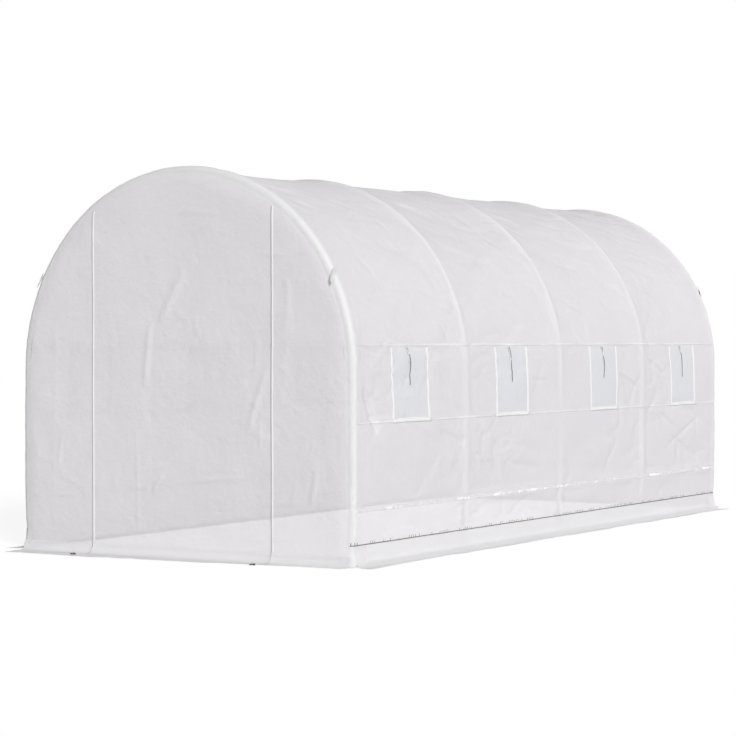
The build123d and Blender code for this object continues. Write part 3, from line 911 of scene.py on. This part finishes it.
def flare(down, drop, bend):
    """A strip's way down a wall, round a bend and out on the ground: (out, height)."""
    arc = bend * pi / 2
    straight = np.clip(down, 0, drop)
    turn = np.clip((down - drop) / bend, 0, pi / 2)
    flat = np.maximum(down - drop - arc, 0)
    out = bend * (1 - np.cos(turn)) + flat
    height = drop + bend - straight - bend * np.sin(turn)
    return out, height


# Skirts

SIDE_DROP = 0.052
SIDE_BEND = 0.048
SIDE_REACH = 0.048
SIDE_SKIRT_HALF = 2.245
END_DROP = 0.010
END_REACH = 0.17
END_SKIRT_HALF = 0.992


def lay_skirt(word):
    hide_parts(f"skirt_{word}")


def side_skirt(word, side):
    """A narrow skirt that bends out along the foot of a wall."""
    run = SIDE_DROP + SIDE_BEND * pi / 2
    width = run + SIDE_REACH

    def shape(y, v):
        reach = SIDE_REACH + 0.006 * noise(y, y * 0, 0.37, 41) + 0.004 * noise(y, y * 0, 0.13, 42)
        tip = ease(np.abs(y), 2.05, 2.25)
        reach = reach + 0.008 * tip
        down = np.where(v < run, v, run + (v - run) * (reach / SIDE_REACH))
        out, height = flare(down, SIDE_DROP, SIDE_BEND)
        away = ease(v, run - 0.03, width)
        wave = 0.5 + 0.5 * noise(y, v, 0.21, 43)
        crease = rumple(y, v * 2, 0.16, 44)
        height = height + (0.004 * wave + 0.0025 * crease) * away * (1 - 0.6 * tip)
        low = ease(v, 0.0, 0.05)
        puff = low * (0.0022 * noise(y, v * 2, 0.19, 45) + 0.0018 * crease)
        x = side * (SKIN + bulge(HEM) + 0.0012 * low + out + puff)
        return np.stack([x, y * (1 + 0.014 * away * tip), height + 0.0006], axis=1)
    across = lines([-SIDE_SKIRT_HALF, SIDE_SKIRT_HALF], 0.014)
    along = lines([0.0, SIDE_DROP, run, width], 0.0085)
    made, area = cloth(f"side_skirt_{word}", [(across, along, shape)], skirt_film)
    lay_skirt(word)


def end_skirt(word, end):
    """A wider skirt at an end, cut away towards the right at the door."""
    run = END_DROP + FOOT_BEND * pi / 2
    width = run + END_REACH

    def shape(x, v):
        taper = 1 - ease(x, -0.4, 1.0) * (0.78 if end < 0 else 0.25)
        reach = 0.150 * taper + 0.012 * noise(x, x * 0, 0.31, 51) * taper
        down = np.where(v < run, v, run + (v - run) * (reach / END_REACH))
        out, height = flare(down, END_DROP, FOOT_BEND)
        away = ease(v, run - 0.02, run + 0.06)
        wave = 0.5 + 0.5 * noise(x, v, 0.23, 53)
        crease = rumple(x, v, 0.15, 54)
        height = height + (0.004 * wave + 0.003 * crease) * away
        y = end * (PANEL + 0.0010 + out)
        narrow = 1 - 0.02 * away * ease(v, run, width)
        return np.stack([x * narrow, y, height + 0.0006], axis=1)
    across = lines([-END_SKIRT_HALF, END_SKIRT_HALF], 0.0125)
    along = lines([0.0, END_DROP, run, width], 0.009)
    made, area = cloth(f"end_skirt_{word}", [(across, along, shape)], skirt_film)
    lay_skirt(word)


side_skirt("left", -1)
side_skirt("right", 1)
end_skirt("front", -1)
end_skirt("rear", 1)


# Sleeves round the end hoops

def sleeve_place(end, s, v, lift):
    """The point at a distance round the section and another across the sleeve."""
    y = SLEEVE_START + np.minimum(v, SIDE_RUN)
    turn = np.clip((v - SIDE_RUN) / ROLL, 0, pi / 2)
    past = np.maximum(v - SIDE_RUN - ROLL * pi / 2, 0)
    soft = 0.0012 * noise(s, v, 0.11, 61) + 0.0014 * rumple(s, v * 3, 0.13, 62)
    swell = ROLL + lift + soft * ease(v, 0.05, SIDE_RUN) * np.cos(turn)
    out = cover_height(end * y, s) + swell * np.cos(turn) - ROLL - past
    fall = np.where(past > 0, pull(SKIN - ROLL - past), RIM_FALL * np.sin(turn) ** 2)
    forward = y + swell * np.sin(turn) - fall
    low = 1 - ease(np.minimum(s, SECTION - s), 0.0, 0.10)
    return section_place(end * (forward + 0.010 * low), s, out + 0.014 * low * (past <= 0))


def hem_wrap(end, side):
    """The hem thread's end, carried over the sleeve and round the corner."""
    def shape(u, v):
        s = HEM_LINE + u
        return sleeve_place(end, s if side > 0 else SECTION - s, v, 0.0022)
    across = lines([-HEM_LINE_HALF, 0.0, HEM_LINE_HALF], 0.006)
    return across, lines([0.08, SIDE_RUN + 1.1 * ROLL], 0.006), shape


def sleeve(word, end):
    """A band sewn round the end hoop: flat on the roof, rolled over the tube, flat on the end."""
    def shape(s, v):
        return sleeve_place(end, s, v, 0.0005)
    across = lines([0.004, SPRING, SPRING + pi / 2, SPRING + pi, SECTION - 0.004], 0.013)
    along = lines([0.0, SIDE_RUN, SIDE_RUN + ROLL * pi / 2, SLEEVE_WIDTH], 0.0065)
    made, area = cloth(f"{word}_sleeve", [(across, along, shape)], sleeve_film)
    for corner in made.data.uv_layers["cut"].data:
        corner.uv = corner.uv.yx
    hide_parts(f"{word}_edge_band")


sleeve("front", -1)
sleeve("rear", 1)
wraps, _ = cloth(
    "hem_wraps", [hem_wrap(end, side) for end in (-1, 1) for side in (-1, 1)], hem_thread
)


# Zips

ZIP_HALF = 0.0065
TAIL_HALF = 0.0045


def zip_strip(side):
    """Zip tape from the foot of the door up to the sleeve."""
    def shape(u, z):
        x = side * DOOR + u + 0.0015 * noise(z, z * 0, 0.4, 71)
        out = PANEL + 0.0014 + 0.0020 * (1 - (u / ZIP_HALF) ** 2)
        out = out + 0.6 * end_height(x, z, FRONT_SEED, FRONT_FOLDS)
        out = out - pull(np.hypot(x, over_spring(z)))
        return np.stack([x, -out, z], axis=1)
    top = SPRING + sqrt(ARCH ** 2 - DOOR ** 2) + 0.004
    return lines([-ZIP_HALF, -0.003, 0.003, ZIP_HALF], 0.003), lines([FOOT, top], 0.012), shape


def zip_tail(side):
    """The zip's lower end, laid out over the skirt and drifting to the left."""
    def shape(u, v):
        out, height = flare(v, END_DROP, FOOT_BEND - 0.002)
        down = np.clip((v - 0.02) / 0.18, 0, 1)
        x = side * DOOR + u - 0.015 * down ** 1.6
        return np.stack([x, -(PANEL + 0.0040 + out), height + 0.0065], axis=1)
    return lines([-TAIL_HALF, TAIL_HALF], 0.003), lines([0.0, 0.205], 0.006), shape


for word, side in (("left", -1), ("right", 1)):
    for name, node, patch in (
        (f"zip_{word}", f"door_zip_{word}", zip_strip(side)),
        (f"zip_tail_piece_{word}", f"zip_tail_{word}", zip_tail(side)),
    ):
        tape, _ = cloth(name, [patch], zip_tape)
        thicken(tape, 0.0016)
        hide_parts(node)


# Guy tabs: webbing folded into a loop

TAB_ANGLE = 27.7
TAB_LENGTH = 0.13
TAB_HALF = 0.0125


def guy_tab(end, angle):
    """A loop sewn to the sleeve at an angle up the arch, hanging forward and down."""
    centre = Vector((cos(angle), 0, sin(angle)))
    tangent = Vector((-sin(angle), 0, cos(angle)))
    root = Vector((0, end * (HALF - 0.010), SPRING)) + centre * 1.0020
    away = Vector((0.004 * cos(angle), end * 0.040, -0.034))

    def shape(u, v):
        points = []
        for a, turn in zip(u, v / TAB_LENGTH * pi):
            reach = float(np.sin(turn)) ** 0.8
            spread = 0.0045 * float(np.cos(turn)) * (1 - 0.3 * reach)
            sag = Vector((0, 0, -0.020 * reach ** 2))
            points.append(root + away * reach + sag + centre * spread + tangent * float(a))
        return points
    return lines([-TAB_HALF, TAB_HALF], 0.005), lines([0.0, TAB_LENGTH], 0.004), shape


tab_angles = [radians(TAB_ANGLE), radians(180 - TAB_ANGLE)]
tabs, _ = cloth(
    "guy_tab_loops", [guy_tab(end, angle) for end in (-1, 1) for angle in tab_angles], tab_webbing
)
thicken(tabs, 0.0016)
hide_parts("guy_tabs")


# Frame finishes

def dress(node, material):
    node.data.materials.clear()
    node.data.materials.append(material)


for name, node in nodes.items():
    if name in ("rail_clamps", "base_saddles"):
        dress(node, moulded_plastic)
    elif name == "zip_sliders":
        dress(node, slider_enamel)
    elif name == "foot_lugs" or name.startswith("hoop_") or "rail" in name:
        dress(node, powder_coat)


# Floor and light

def floor_finish():
    """Pale floor that stays white round the object and keeps its shadow."""
    paint = material_paint("pale_floor")
    seen = paint.node("ShaderNodeLightPath", output="Is Camera Ray")
    ground = paint.node("ShaderNodeBsdfDiffuse", inputs={"Color": tint(0.72, 0.72, 0.72)})
    white = paint.node("ShaderNodeEmission", inputs={"Color": tint(1, 1, 1), "Strength": 1.20})
    return paint.finish(paint.mix(seen * 0.72, ground, white))


bm = bmesh.new()
bmesh.ops.create_grid(bm, x_segments=1, y_segments=1, size=40)
bmesh.ops.translate(bm, verts=bm.verts, vec=(0, 0, -0.0005))
floor_mesh = bpy.data.meshes.new("floor")
bm.to_mesh(floor_mesh)
bm.free()
floor_mesh.materials.append(floor_finish())
floor = bpy.data.objects.new("floor", floor_mesh)
scene.collection.objects.link(floor)


def studio_light(world):
    """Light that dims upward and to the left; seen straight on, it is plain white."""
    sky = Paint(world)
    parts = {"Vector": sky.node("ShaderNodeTexCoord", output="Generated")}
    height = sky.node("ShaderNodeSeparateXYZ", inputs=parts, output="Z")
    left = sky.node("ShaderNodeSeparateXYZ", inputs=parts, output="X") * -1.0
    level = (0.79 - 0.60 * height.at_least(0.0) - 0.42 * left.at_least(0.0)).at_least(0.05)
    seen = sky.node("ShaderNodeLightPath", output="Is Camera Ray")
    shine = sky.node("ShaderNodeLightPath", output="Is Glossy Ray")
    passed = sky.node("ShaderNodeLightPath", output="Is Transmission Ray")
    spread = sky.node("ShaderNodeLightPath", output="Is Diffuse Ray")
    shown = seen.at_least(shine).at_least(passed * (1.0 - spread))
    strength = level * (1.0 - shown) + shown
    inputs = {"Color": tint(1, 1, 1), "Strength": strength}
    return sky.finish(sky.node("ShaderNodeBackground", inputs=inputs), "ShaderNodeOutputWorld")


scene.world = studio_light(bpy.data.worlds.new("studio"))


def lamp(name, toward, strength, angle):
    """Soft distant lamp shining from a direction."""
    light = bpy.data.lights.new(name, "SUN")
    light.energy = strength
    light.angle = radians(angle)
    made = bpy.data.objects.new(name, light)
    made.rotation_euler = Vector(toward).to_track_quat("Z", "Y").to_euler()
    scene.collection.objects.link(made)


lamp("key_light", (0.68, -0.57, 0.44), 2.65, 14)

scene.view_settings.view_transform = "Standard"
